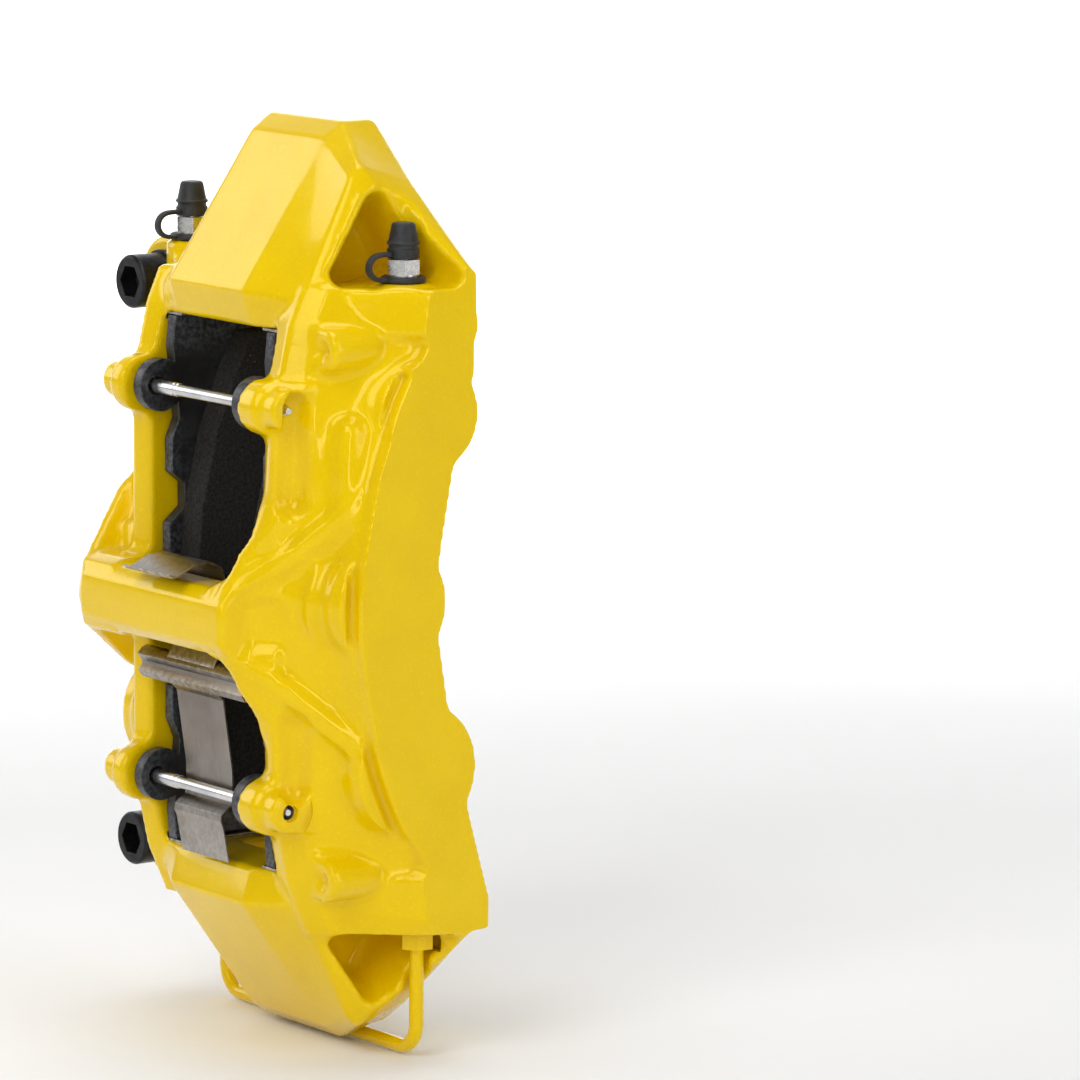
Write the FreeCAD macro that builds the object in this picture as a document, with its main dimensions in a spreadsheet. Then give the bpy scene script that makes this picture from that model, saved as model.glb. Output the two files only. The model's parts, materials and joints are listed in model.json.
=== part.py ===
import FreeCAD, Part
import Sketcher
import math
import os
import re

# Six-piston radial brake caliper, millimetres.
#
# Every sub-part is drawn in the caliper's own axes: the disc turns about Y through X = 0, Z = 0,
# Y = 0 is the middle of the disc, -Y is the wheel side, and -X points away from the disc's centre.
# The Placement then shifts it to the row frame, whose origin is midway between the two mounting
# bolts on the face of the mounting lugs.

VECTOR = FreeCAD.Vector

DIMENSIONS = {
    # brake disc that the caliper straddles
    "disc_slot_radius": 170.5,
    "disc_slot_half": 18.5,
    # radial mounting
    "mount_spacing": 190.0,
    "seat_to_axis": 115.0,
    "seat_to_middle": 65.0,
    "mount_bore_radius": 6.5,
    "lug_radius": 14.5,
    "lug_top": 143.0,
    "mount_bolt_radius": 6.0,
    "mount_shank_radius": 5.5,
    "mount_bolt_free": 24.0,
    "mount_head_radius": 9.0,
    "mount_head_height": 12.0,
    "mount_socket": 10.0,
    "washer_radius": 10.0,
    "spotface_radius": 10.5,
    "washer_thickness": 2.0,
    # housings
    "cavity_half": 33.0,
    "face_y": 70.0,
    "back_y": 74.0,
    "face_radius": 156.5,
    "ridge_x": 172.0,
    "rim_x": 170.0,
    "inner_edge": 124.0,
    "end_wall": 89.0,
    "upper_ledge": 103.5,
    "lower_ledge": 108.5,
    "upper_top": 154.0,
    "lower_top": 151.5,
    # centre bridge
    "bridge_outer": 189.5,
    "bridge_under": 172.5,
    "bridge_upper": 6.0,
    "bridge_lower": 16.0,
    # cylinders
    "piston_circle": 143.5,
    "upper_angle": 25.9,
    "middle_angle": 0.8,
    "lower_angle": -21.7,
    "upper_bore": 28.0,
    "middle_bore": 32.0,
    "lower_bore": 36.0,
    "bore_depth": 29.0,
    "piston_gap": 0.05,
    "piston_length": 30.0,
    "piston_wall": 3.0,
    "seal_width": 3.0,
    "seal_depth": 2.5,
    "seal_inset": 8.0,
    "dust_width": 2.0,
    "dust_inset": 2.5,
    # brake pads
    "plate_thickness": 4.6,
    "plate_back": 30.8,
    "lining_face": 14.9,
    "shim_thickness": 0.6,
    "pad_outer": 167.0,
    "pad_inner": 113.0,
    "lining_outer": 163.5,
    "pad_end": 87.9,
    "ear_radius": 8.8,
    "ear_hole": 3.0,
    "keeper_thickness": 0.8,
    "keeper_screw_x": 150.0,
    "keeper_y": 28.0,
    "keeper_half": 4.6,
    # pad pins
    "pin_x": 172.2,
    "pin_z": 65.3,
    "pin_radius": 2.4,
    "pin_bore": 2.45,
    "pin_tip": 50.0,
    "pin_tail": 46.0,
    "pin_boss_radius": 6.3,
    # bleed screws
    "bleed_x": 131.0,
    "bleed_y": 55.0,
    "rear_bleed_x": 142.8,
    "rear_bleed_y": 48.7,
    "bleed_thread": 4.0,
    "bleed_seat": 1.2,
    "rear_bleed_seat": 6.5,
    "bleed_flats": 10.0,
    # fluid crossover
    "tube_x": 124.5,
    "tube_y": 55.0,
    "tube_radius": 2.375,
    "tube_drop": 149.5,
    "tube_bend": 9.0,
    "nut_flats": 10.0,
    "nut_height": 5.0,
    "pipe_thread": 5.0,
    "pipe_hole": 7.0,
    "passage_radius": 1.75,
    "gallery_x": 136.5,
    "inlet_z": 30.0,
    "inlet_radius": 4.5,
    "inlet_depth": 14.0,
    # anti-rattle spring
    "leaf_thickness": 0.6,
    "leaf_half": 13.5,
}

CYLINDERS = ("upper", "middle", "lower")
SIDES = {"outboard": -1, "inboard": 1}
ENDS = {"upper": 1, "lower": -1}


def add_sizes(doc):
    """Spreadsheet of driving dimensions, one alias per row, plus the cylinder centres."""
    sheet = doc.addObject("Spreadsheet::Sheet", "Sizes")
    rows = {name: str(value) for name, value in DIMENSIONS.items()}
    for name in CYLINDERS:
        rows[name + "_x"] = "=-piston_circle * cos(%s_angle * 1deg)" % name
        rows[name + "_z"] = "=piston_circle * sin(%s_angle * 1deg)" % name
    for row, (name, text) in enumerate(rows.items(), start=1):
        sheet.set("A%d" % row, name)
        sheet.set("B%d" % row, text)
        sheet.setAlias("B%d" % row, name)
    doc.recompute()
    return sheet, set(rows)


DOC = FreeCAD.newDocument("brake_caliper")
SHEET, ALIASES = add_sizes(DOC)
NODES = []


def cells(text):
    """Expression text with every alias named through the sheet."""
    return re.sub(r"[a-z_]+", lambda word: "Sizes." + word.group() if word.group() in ALIASES else word.group(),
                  str(text))


def value(text):
    """The number that an expression stands for."""
    result = SHEET.evalExpression(cells(text))
    return float(getattr(result, "Value", result))


def bind(item, prop, text):
    """Tie one property to the sheet, or set it when it is a plain number."""
    if isinstance(text, str):
        item.setExpression(prop, cells(text))
    else:
        item.setExpression(prop, repr(float(text)))


# A sketch is drawn across one axis: across X its own axes are Y and Z, across Y they are X and Z, and
# across Z they are X and Y.
FRAMES = {
    "X": FreeCAD.Rotation(VECTOR(0, 1, 0), VECTOR(0, 0, 1), VECTOR(1, 0, 0)),
    "Y": FreeCAD.Rotation(VECTOR(1, 0, 0), VECTOR(0, 0, 1), VECTOR(0, -1, 0)),
    "Z": FreeCAD.Rotation(),
}
ACROSS = {"X": ("y", "z"), "Y": ("x", "z"), "Z": ("x", "y")}
VECTORS = {"X": VECTOR(1, 0, 0), "Y": VECTOR(0, 1, 0), "Z": VECTOR(0, 0, 1)}
PLANES = {"X": ("YZ_Plane", 1), "Y": ("XZ_Plane", -1), "Z": ("XY_Plane", 1)}


def draw(sketch, points):
    """Closed outline whose corners are pinned to the sheet, each point a pair of expressions."""
    corners = [VECTOR(value(u), value(v), 0) for u, v in points]
    for start, end in zip(corners, corners[1:] + corners[:1]):
        sketch.addGeometry(Part.LineSegment(start, end), False)
    for index, (u, v) in enumerate(points):
        before = (index - 1) % len(points)
        sketch.addConstraint(Sketcher.Constraint("Coincident", before, 2, index, 1))
        for kind, text, place in (("DistanceX", u, corners[index].x), ("DistanceY", v, corners[index].y)):
            number = sketch.addConstraint(Sketcher.Constraint(kind, index, 1, place))
            bind(sketch, "Constraints[%d]" % number, text)


# The casting is made of free solids joined and cut with booleans.

def free_outline(name, axis, level, points):
    sketch = DOC.addObject("Sketcher::SketchObject", name)
    sketch.Placement = FreeCAD.Placement(VECTOR(), FRAMES[axis])
    bind(sketch, "Placement.Base." + axis.lower(), level)
    draw(sketch, points)
    return sketch


def prism(name, axis, points, low, high):
    """Straight solid between two levels on an axis."""
    solid = DOC.addObject("Part::Extrusion", name)
    solid.Base = free_outline(name + "_outline", axis, low, points)
    solid.DirMode = "Custom"
    solid.Dir = VECTORS[axis]
    solid.Solid = True
    bind(solid, "LengthFwd", "(%s) - (%s)" % (high, low))
    return solid


def rod(name, axis, centre, low, high, radius):
    """Cylinder between two levels on an axis."""
    solid = DOC.addObject("Part::Cylinder", name)
    solid.Placement = FreeCAD.Placement(VECTOR(), FreeCAD.Rotation(VECTOR(0, 0, 1), VECTORS[axis]))
    bind(solid, "Placement.Base." + ACROSS[axis][0], centre[0])
    bind(solid, "Placement.Base." + ACROSS[axis][1], centre[1])
    bind(solid, "Placement.Base." + axis.lower(), low)
    bind(solid, "Radius", radius)
    bind(solid, "Height", "(%s) - (%s)" % (high, low))
    return solid


def loft(name, axis, sections):
    """Ruled solid through outlines at several levels on an axis."""
    solid = DOC.addObject("Part::Loft", name)
    solid.Sections = [free_outline("%s_section_%d" % (name, number), axis, level, points)
                      for number, (level, points) in enumerate(sections)]
    solid.Solid = True
    solid.Ruled = True
    return solid


def join(name, solids):
    whole = DOC.addObject("Part::MultiFuse", name)
    whole.Shapes = solids
    whole.Refine = False
    return whole


def carve(name, base, tools):
    result = DOC.addObject("Part::Cut", name)
    result.Base = base
    result.Tool = join(name + "_tools", tools)
    result.Refine = False
    return result


def place(node, label, at=("0", "0", "0")):
    """Give a finished sub-part its label and carry it from the caliper's axes to the row frame."""
    node.Label = label
    bind(node, "Placement.Base.x", "seat_to_axis + (%s)" % at[0])
    bind(node, "Placement.Base.y", "-seat_to_middle + (%s)" % at[1])
    bind(node, "Placement.Base.z", "0 + (%s)" % at[2])
    NODES.append(node)
    return node


def span(sign, near, far):
    """Two levels on one side of the origin, lowest first."""
    return sorted(("%d * (%s)" % (sign, near), "%d * (%s)" % (sign, far)), key=value)


def bank_outline(mix, radius, straight):
    """Section of a cylinder bank: its outer edge runs from an arc (mix 0) to a straight wall (mix 1)."""
    points = []
    for z in (-112, -92, -68, -44, -20, 0, 20, 44, 68, 92, 112):
        droop = max(0.0, abs(z) - 80) * 0.45
        points.append(("-((1 - %s) * sqrt((%s)^2 - %d^2) + %s * (%s - %.1f))"
                       % (mix, radius, abs(z), mix, straight, droop), z))
    return [("-inner_edge + 26", "-112")] + points + [("-inner_edge + 26", "112")]


def bank(side):
    """Wall of metal on one side of the disc that the three cylinders are bored in."""
    sign = SIDES[side]
    if sign < 0:
        levels = [("face_y", 0, "face_radius", "0"), ("face_y - 4", 0, "face_radius + 1", "0"),
                  ("face_y - 12", 0.5, "face_radius + 2", "ridge_x - 12"),
                  ("face_y - 21", 1, "face_radius", "ridge_x - 5"), ("face_y - 28", 1, "face_radius", "ridge_x"),
                  ("cavity_half", 1, "face_radius", "rim_x")]
    else:
        levels = [("cavity_half", 1, "face_radius", "rim_x"), ("cavity_half + 8", 1, "face_radius", "ridge_x"),
                  ("cavity_half + 18", 0.6, "face_radius + 1", "ridge_x - 10"),
                  ("back_y - 6", 0, "face_radius", "0"), ("back_y", 0, "face_radius - 4", "0")]
    sections = [("%d * (%s)" % (sign, y), bank_outline(mix, radius, straight))
                for y, mix, radius, straight in levels]
    return loft(side + "_bank", "Y", sections)


def inner_boundary():
    """Room beyond the straight machined edge of both banks, on the side towards the hub."""
    edge = [("-106", "-118"), ("-105.5", "-98"), ("-113", "-72"), ("-121", "-42"), ("-inner_edge - 2", "-12"),
            ("-inner_edge - 3", "8"), ("-inner_edge - 1.5", "20"), ("-120", "50"), ("-112.5", "76"),
            ("-112", "118"), ("-60", "118"), ("-60", "-118")]
    return prism("inner_boundary", "Y", edge, "-80", "80")


def ledge_room(end):
    """The banks end in flat ledges above and below, where the bleed screws and the pipe sit."""
    low, high = span(ENDS[end], end + "_ledge", "200")
    box = [("-210", "-90"), ("-60", "-90"), ("-60", "90"), ("-210", "90")]
    return prism(end + "_ledge", "Z", box, low, high)


def housings(side):
    """Round cylinder housings that bulge from the bank, with stepped ends on its outer face."""
    sign = SIDES[side]
    outer = "face_y" if sign < 0 else "back_y"
    solids = []
    for name in CYLINDERS:
        for step, (grow, back) in enumerate(((4.0, 0.0), (5.0, 8.0), (8.0, 16.0), (10.5, 23.0))):
            low, high = span(sign, "%s - %s" % (outer, back), "cavity_half")
            solids.append(rod("%s_%s_housing_%d" % (side, name, step), "Y", (name + "_x", name + "_z"),
                              low, high, "%s_bore / 2 + %s" % (name, grow)))
    return solids


def face_edge():
    """Trims the housings back to the arc of the wheel-side face, which stands a little proud."""
    arc = [("-sqrt((face_radius + 0.5)^2 - %d^2)" % abs(z), z) for z in range(-78, 79, 12)]
    return prism("face_edge", "Y", [("-200", "-78")] + arc + [("-200", "78")], "-face_y - 10", "-face_y + 4")


def mirrored(end, points):
    return [(x, "%d * (%s)" % (ENDS[end], z)) for x, z in points]


def end_block(end):
    """Bridge over the disc at one end: a faceted block that tapers down to the wheel-side face."""
    top = end + "_top"
    low = "end_wall"
    middle = mirrored(end, [("-166", low), ("-170", "101"), ("-137", top + " - 5"), ("-130", top),
                            ("-118", top), ("-111", top + " - 8"), ("-104", low)])
    shoulder = mirrored(end, [("-160", low), ("-162", "99"), ("-144", "138"), ("-140", "142"),
                              ("-120", "136"), ("-113.5", "129"), ("-106", low)])
    corner = mirrored(end, [("-132", low), ("-130", "103"), ("-126", "106"), ("-122", "108"),
                            ("-116", "110"), ("-112", "107"), ("-111.5", low)])
    rear = mirrored(end, [("-164", low), ("-162", "98"), ("-138", "120"), ("-133", "123"),
                          ("-121", "123"), ("-114", "118"), ("-106", low)])
    return [prism(end + "_block", "Y", middle, "-20", "22"),
            loft(end + "_block_front", "Y", [("-face_y", corner), ("-43", shoulder), ("-20", middle)]),
            loft(end + "_block_rear", "Y", [("22", middle), ("37", rear), ("56", corner)])]


def end_pocket(end):
    """Triangular recess in the block's wheel-side face, with the ledge as its floor."""
    ledge = end + "_ledge"
    mouth = mirrored(end, [("-168", ledge), ("-142", "148"), ("-136", "148"), ("-113", ledge)])
    floor = mirrored(end, [("-150", ledge), ("-137", "126"), ("-132", "126"), ("-119", ledge)])
    rear_box = mirrored(end, [("-190", ledge), ("-190", "170"), ("-90", "170"), ("-90", ledge)])
    return [loft(end + "_pocket", "Y", [("-82", mouth), ("-29", floor)]),
            prism(end + "_rear_step", "Y", rear_box, "rear_bleed_y - 9.2", "90")]


def pocket_reliefs():
    """Room in the pockets for the lifted bleed cap, the pipe nut and the pipe's leg."""
    bleed, pipe = ("-bleed_x", "-bleed_y"), ("-tube_x", "-tube_y")
    return [rod("cap_relief", "Z", bleed, "upper_ledge + 2", "135", "6.5"),
            rod("nut_relief", "Z", pipe, "-lower_ledge - 9", "-lower_ledge - 2", "6.5"),
            rod("pipe_relief", "Z", pipe, "-165", "-lower_ledge - 9", "4")]


def centre_bridge():
    """Arched bar across the middle of the window, flared into ribs where it meets the banks."""
    bar = [("-150", "-bridge_lower"), ("-bridge_outer + 4.5", "-bridge_lower"),
           ("-bridge_outer + 0.5", "-bridge_lower + 4"), ("-bridge_outer", "-5"),
           ("-bridge_outer + 0.5", "bridge_upper - 4"), ("-bridge_outer + 4.5", "bridge_upper"),
           ("-150", "bridge_upper")]
    root = [("-150", "-bridge_lower - 2"), ("-bridge_outer + 8", "-bridge_lower - 2"),
            ("-bridge_outer + 3", "-bridge_lower"), ("-bridge_outer + 1", "-5"),
            ("-bridge_outer + 3", "bridge_upper"), ("-bridge_outer + 8", "bridge_upper + 2"),
            ("-150", "bridge_upper + 2")]
    spread = [("-142", "-37"), ("-154", "-37"), ("-160", "-32"), ("-160", "-3"),
              ("-160", "26"), ("-154", "31"), ("-142", "31")]
    solids = [prism("bridge_bar", "Y", bar, "-36", "46"),
              loft("front_flare", "Y", [("-56", spread), ("-25", root)]),
              loft("rear_flare", "Y", [("31", root), ("49", root), ("68", spread)])]
    for end, lip in (("upper", "bridge_upper"), ("lower", "bridge_lower")):
        rib_root = mirrored(end, [("-160", lip + " - 3"), ("-bridge_outer + 2", lip + " - 3"),
                                  ("-bridge_outer + 4", lip + " + 2"), ("-160", lip + " + 4")])
        rib_knee = mirrored(end, [("-150", lip + " + 8"), ("-171", lip + " + 8"),
                                  ("-171", lip + " + 14"), ("-150", lip + " + 18")])
        rib_tip = mirrored(end, [("-142", lip + " + 27"), ("-153.5", lip + " + 27"),
                                 ("-153.5", lip + " + 34"), ("-142", lip + " + 37")])
        solids.append(loft(end + "_front_rib", "Y", [("-65", rib_tip), ("-48", rib_knee), ("-31", rib_root)]))
        gusset = mirrored(end, [("-179", lip + " - 2"), ("-184", lip + " - 2"), ("-184", lip + " + 3"),
                                ("-179", lip + " + 16")])
        heel = mirrored(end, [("-166", lip + " - 2"), ("-173", lip + " - 2"), ("-172.5", lip + " + 24"),
                              ("-166", lip + " + 40")])
        solids.append(loft(end + "_window_gusset", "Y", [("-44", heel), ("-31.5", gusset)]))
    return solids


def pin_bosses(end):
    """Flat-faced pad on the wheel side and round boss behind, around one pad pin."""
    z = "%d * pin_z" % ENDS[end]
    centre = ("-pin_x", z)
    low, high = "%s - 7" % z, "%s + 7" % z
    pad = [("-pin_x", low), ("-pin_x + 14", low), ("-pin_x + 14", high), ("-pin_x", high)]
    return [rod(end + "_front_pin_boss", "Y", centre, "-51.5", "-cavity_half", "7"),
            prism(end + "_front_pin_pad", "Y", pad, "-51.5", "-cavity_half"),
            rod(end + "_rear_pin_boss", "Y", centre, "cavity_half", "pin_tail + 4", "pin_boss_radius"),
            rod(end + "_front_lobe", "Y", centre, "-42", "-cavity_half", "9"),
            rod(end + "_rear_lobe", "Y", centre, "cavity_half", "40", "9.5")]


def lug(end):
    """Radial mounting lug behind the inboard bank, tied to it by a web."""
    z = "%d * mount_spacing / 2" % ENDS[end]
    web = [("seat_to_middle - 20", "%s - 12" % z), ("seat_to_middle", "%s - 12" % z),
           ("seat_to_middle", "%s + 12" % z), ("seat_to_middle - 20", "%s + 12" % z)]
    return [rod(end + "_lug", "X", ("seat_to_middle", z), "-lug_top", "-seat_to_axis", "lug_radius"),
            prism(end + "_lug_web", "X", web, "-lug_top", "-seat_to_axis")]


def seat_relief(end):
    """Room for the upright around a lug, so that only the lug's own face touches it."""
    box = mirrored(end, [("-seat_to_axis - 1", "79"), ("-60", "79"), ("-60", "125"), ("-seat_to_axis - 1", "125")])
    return prism(end + "_seat_relief", "Y", box, "seat_to_middle - 20", "90")


def bleed_place(side):
    """Middle of a bleed screw's seat."""
    if SIDES[side] < 0:
        return "-bleed_x", "-bleed_y", "upper_ledge + bleed_seat"
    return "-rear_bleed_x", "rear_bleed_y", "upper_ledge + rear_bleed_seat"


def columns(side):
    """Half-round columns under the bleed screw and the pipe nut."""
    pipe = ("-tube_x", "%d * tube_y" % SIDES[side])
    x, y, seat = bleed_place(side)
    return [rod(side + "_bleed_column", "Z", (x, y), "76", seat, "8.5"),
            rod(side + "_pipe_column", "Z", pipe, "-lower_ledge - bleed_seat", "-80", "8.5")]


def core_bosses():
    """Round bosses beside the window corners."""
    return [rod(name + "_core_boss", "X", ("-54", z), "-162", "-145", "7")
            for name, z in (("upper", "84.5"), ("lower", "-88.5"))]


def core_dimples():
    return [rod(name + "_core_dimple", "X", ("-54", z), "-170", "-159.5", "3.5")
            for name, z in (("upper", "84.5"), ("lower", "-88.5"))]


def pipe_groove():
    """Groove behind the lower bridge's edge that the crossover pipe lies in."""
    box = [("-tube_x - 4", "-tube_drop + 4.5"), ("-90", "-tube_drop + 4.5"), ("-90", "-170"),
           ("-tube_x - 4", "-170")]
    return prism("pipe_groove", "Y", box, "-62", "62")


def pad_cavity():
    """Room for the disc and the pads, and the two windows that open into it."""
    room = [("-bridge_under", "-end_wall"), ("-bridge_under", "end_wall"), ("-90", "end_wall"),
            ("-90", "-end_wall")]
    solids = [prism("pad_room", "Y", room, "-cavity_half", "cavity_half"),
              rod("disc_slot", "Y", ("0", "0"), "-disc_slot_half", "disc_slot_half", "disc_slot_radius")]
    for end in ENDS:
        lip = "bridge_%s + 0.5" % end
        window = mirrored(end, [("-200", lip), ("-160", lip), ("-160", "end_wall"), ("-200", "end_wall")])
        solids.append(prism(end + "_window", "Y", window, "-cavity_half + 7", "cavity_half - 7"))
    return solids


def bores(side):
    """Cylinder bores, each with a groove for a pressure seal and one for a dust seal."""
    sign = SIDES[side]

    def ring(tag, centre, inset, width, radius):
        low, high = span(sign, "cavity_half + " + inset, "cavity_half + %s + %s" % (inset, width))
        return rod(tag, "Y", centre, low, high, radius)

    solids = []
    for name in CYLINDERS:
        tag = "%s_%s" % (side, name)
        centre = (name + "_x", name + "_z")
        deep = "%s_bore / 2 + seal_depth" % name
        solids.append(ring(tag + "_bore", centre, "-1", "bore_depth + 1", name + "_bore / 2"))
        solids.append(ring(tag + "_seal_groove", centre, "seal_inset", "seal_width", deep))
        solids.append(ring(tag + "_dust_groove", centre, "dust_inset", "dust_width", deep))
    return solids


def drillings():
    """Bolt, pin, bleed, pipe and inlet holes, and the passages that join the cylinders."""
    inlet = ("-gallery_x", "inlet_z")
    solids = [rod("inlet_hole", "Y", inlet, "back_y - inlet_depth", "back_y + 6", "inlet_radius"),
              rod("inlet_passage", "Y", inlet, "rear_bleed_y", "back_y - inlet_depth + 1", "passage_radius")]
    for side, sign in SIDES.items():
        for end, up in ENDS.items():
            low, high = span(up, "end_wall - 1", "end_wall + 7")
            screw = ("-keeper_screw_x", "%d * keeper_y" % sign)
            solids.append(rod("%s_%s_screw_hole" % (side, end), "Z", screw, low, high, "1.25"))
    for end, sign in ENDS.items():
        bolt = ("seat_to_middle", "%d * mount_spacing / 2" % sign)
        solids += [
            rod(end + "_lug_bore", "X", bolt, "-lug_top - 1", "-seat_to_axis + 1", "mount_bore_radius"),
            rod(end + "_spotface", "X", bolt, "-200", "-lug_top", "spotface_radius"),
            rod(end + "_pin_bore", "Y", ("-pin_x", "%d * pin_z" % sign), "-60", "80", "pin_bore"),
        ]
    for side, sign in SIDES.items():
        x, y, seat = bleed_place(side)
        pipe = ("-tube_x", "%d * tube_y" % sign)
        solids += [
            rod(side + "_bleed_hole", "Z", (x, y), seat + " - 12", seat + " + 2", "bleed_thread"),
            rod(side + "_bleed_passage", "Z", (x, y), "60", seat + " - 11", "passage_radius"),
            rod(side + "_pipe_hole", "Z", pipe, "-lower_ledge - 3", "-lower_ledge + pipe_hole", "pipe_thread"),
            rod(side + "_pipe_passage", "Z", pipe, "-lower_ledge + pipe_hole - 1", "-62", "passage_radius"),
            rod(side + "_gallery", "Z", ("-gallery_x", y), "-52", "60", "passage_radius"),
        ]
    return solids


def make_casting():
    banks = carve("banks", join("bank_walls", [bank(side) for side in SIDES]),
                  [inner_boundary()] + [ledge_room(end) for end in ENDS])
    solids = [banks] + core_bosses() + centre_bridge()
    for side in SIDES:
        solids += housings(side)
    for end in ENDS:
        solids += end_block(end) + pin_bosses(end)
    solids.append(rod("inlet_boss", "Y", ("-gallery_x", "inlet_z"), "50", "back_y + 4", "9"))
    rough = join("rough_casting", solids)
    hollow = pad_cavity() + core_dimples() + pocket_reliefs() + [pipe_groove(), face_edge()]
    for end in ENDS:
        hollow += end_pocket(end) + [seat_relief(end)]
    seats = [carve("opened_casting", rough, hollow)]
    for side in SIDES:
        seats += columns(side)
    for end in ENDS:
        seats += lug(end)
    casting = carve("machined_casting", join("casting_with_seats", seats),
                    bores("outboard") + bores("inboard") + drillings())
    place(casting, "caliper_body")


# The other sub-parts are bodies of their own, drawn about their own origin.

def new_body(label, at=("0", "0", "0")):
    return place(DOC.addObject("PartDesign::Body", label), label, at)


def attach(item, body, axis, level, across=("0", "0")):
    role, sign = PLANES[axis]
    plane = next(o for o in body.Origin.OriginFeatures if o.Role == role)
    item.AttachmentSupport = [(plane, "")]
    item.MapMode = "FlatFace"
    bind(item, "AttachmentOffset.Base.x", across[0])
    bind(item, "AttachmentOffset.Base.y", across[1])
    bind(item, "AttachmentOffset.Base.z", "%d * (%s)" % (sign, level))


def outline(body, name, axis, level, points):
    sketch = body.newObject("Sketcher::SketchObject", name)
    attach(sketch, body, axis, level)
    draw(sketch, points)
    return sketch


def pad(body, name, axis, points, low, high):
    """Extrude an outline between two levels on an axis and add it to the body."""
    feature = body.newObject("PartDesign::Pad", name)
    feature.Profile = outline(body, name + "_outline", axis, high if axis == "Y" else low, points)
    bind(feature, "Length", "(%s) - (%s)" % (high, low))
    return feature


def pocket(body, name, axis, points, low, high):
    """Cut an outline out of the body between two levels on an axis."""
    feature = body.newObject("PartDesign::Pocket", name)
    feature.Profile = outline(body, name + "_outline", axis, low if axis == "Y" else high, points)
    bind(feature, "Length", "(%s) - (%s)" % (high, low))
    return feature


def round_feature(body, name, kind, axis, centre, low, high, radius):
    feature = body.newObject("PartDesign::%sCylinder" % kind, name)
    attach(feature, body, axis, high if axis == "Y" else low, centre)
    bind(feature, "Radius", radius)
    bind(feature, "Height", "(%s) - (%s)" % (high, low))
    return feature


def turned(body, name, profile, line="V_Axis"):
    """Solid of revolution about Y (V_Axis) or X (H_Axis); the profile lies in the XY plane."""
    feature = body.newObject("PartDesign::Revolution", name)
    feature.Profile = outline(body, name + "_profile", "Z", "0", profile)
    feature.ReferenceAxis = (feature.Profile[0], [line])
    feature.Angle = 360.0
    return feature


def turned_up(body, name, profile):
    """Solid of revolution about Z; the profile lies in the XZ plane."""
    feature = body.newObject("PartDesign::Revolution", name)
    feature.Profile = outline(body, name + "_profile", "Y", "0", profile)
    feature.ReferenceAxis = (feature.Profile[0], ["V_Axis"])
    feature.Angle = 360.0
    return feature


def hexagon(flats):
    """Corners of a hexagon from its width across flats, about the origin."""
    return [("%s / sqrt(3) * %.9f" % (flats, math.cos(math.radians(turn))),
             "%s / sqrt(3) * %.9f" % (flats, math.sin(math.radians(turn)))) for turn in range(0, 360, 60)]


def from_disc(side, points):
    """Profile of (radius, distance from the mid-plane) turned to its side of the disc."""
    return [(r, "%d * (%s)" % (SIDES[side], y)) for r, y in points]


def make_cylinder_set(side, name):
    """Piston with its pressure seal and dust seal, about the cylinder's axis."""
    at = (name + "_x", "0", name + "_z")
    tag = "%s_%s_" % (side, name)
    bore = name + "_bore / 2"
    outer = bore + " - piston_gap"
    nose = "plate_back + shim_thickness + 0.1"
    tail = "(%s) + piston_length" % nose
    cup = [("0", tail), (outer + " - 1", tail), (outer, "(%s) - 1" % tail), (outer, "(%s) + 0.8" % nose),
           (outer + " - 0.8", nose), (outer + " - piston_wall", nose),
           (outer + " - piston_wall", "(%s) + 22" % nose), ("0", "(%s) + 22" % nose)]
    turned(new_body(tag + "piston", at), tag + "cup", from_disc(side, cup))
    for kind, inset, width in (("pressure_seal", "seal_inset", "seal_width"),
                               ("dust_seal", "dust_inset", "dust_width")):
        near = "cavity_half + %s + 0.05" % inset
        far = "cavity_half + %s + %s - 0.05" % (inset, width)
        ring = [(bore + " - 0.02", near), (bore + " + seal_depth - 0.05", near),
                (bore + " + seal_depth - 0.05", far), (bore + " - 0.02", far)]
        turned(new_body(tag + kind, at), tag + kind + "_ring", from_disc(side, ring))


PLATE_EDGE = [("-98", "pad_end"), ("-164.5", "pad_end"), ("-165.5", "pad_end - 10"), ("-163", "54"),
              ("-166", "47"), ("-166", "36"), ("-161", "32"), ("-161", "24"), ("-pad_outer", "19")]
PLATE_INNER = [("-112", "25"), ("-104", "52"), ("-93", "74")]


def plate_outline():
    """Backing plate seen along Y: stepped outer edge, flat ends and a rounded inner edge."""
    upper = [(x, z) for x, z in PLATE_EDGE]
    lower = [(x, "-(%s)" % z) for x, z in reversed(PLATE_EDGE)]
    inner_low = [(x, "-(%s)" % z) for x, z in reversed(PLATE_INNER)]
    return upper + lower + inner_low + PLATE_INNER


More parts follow.
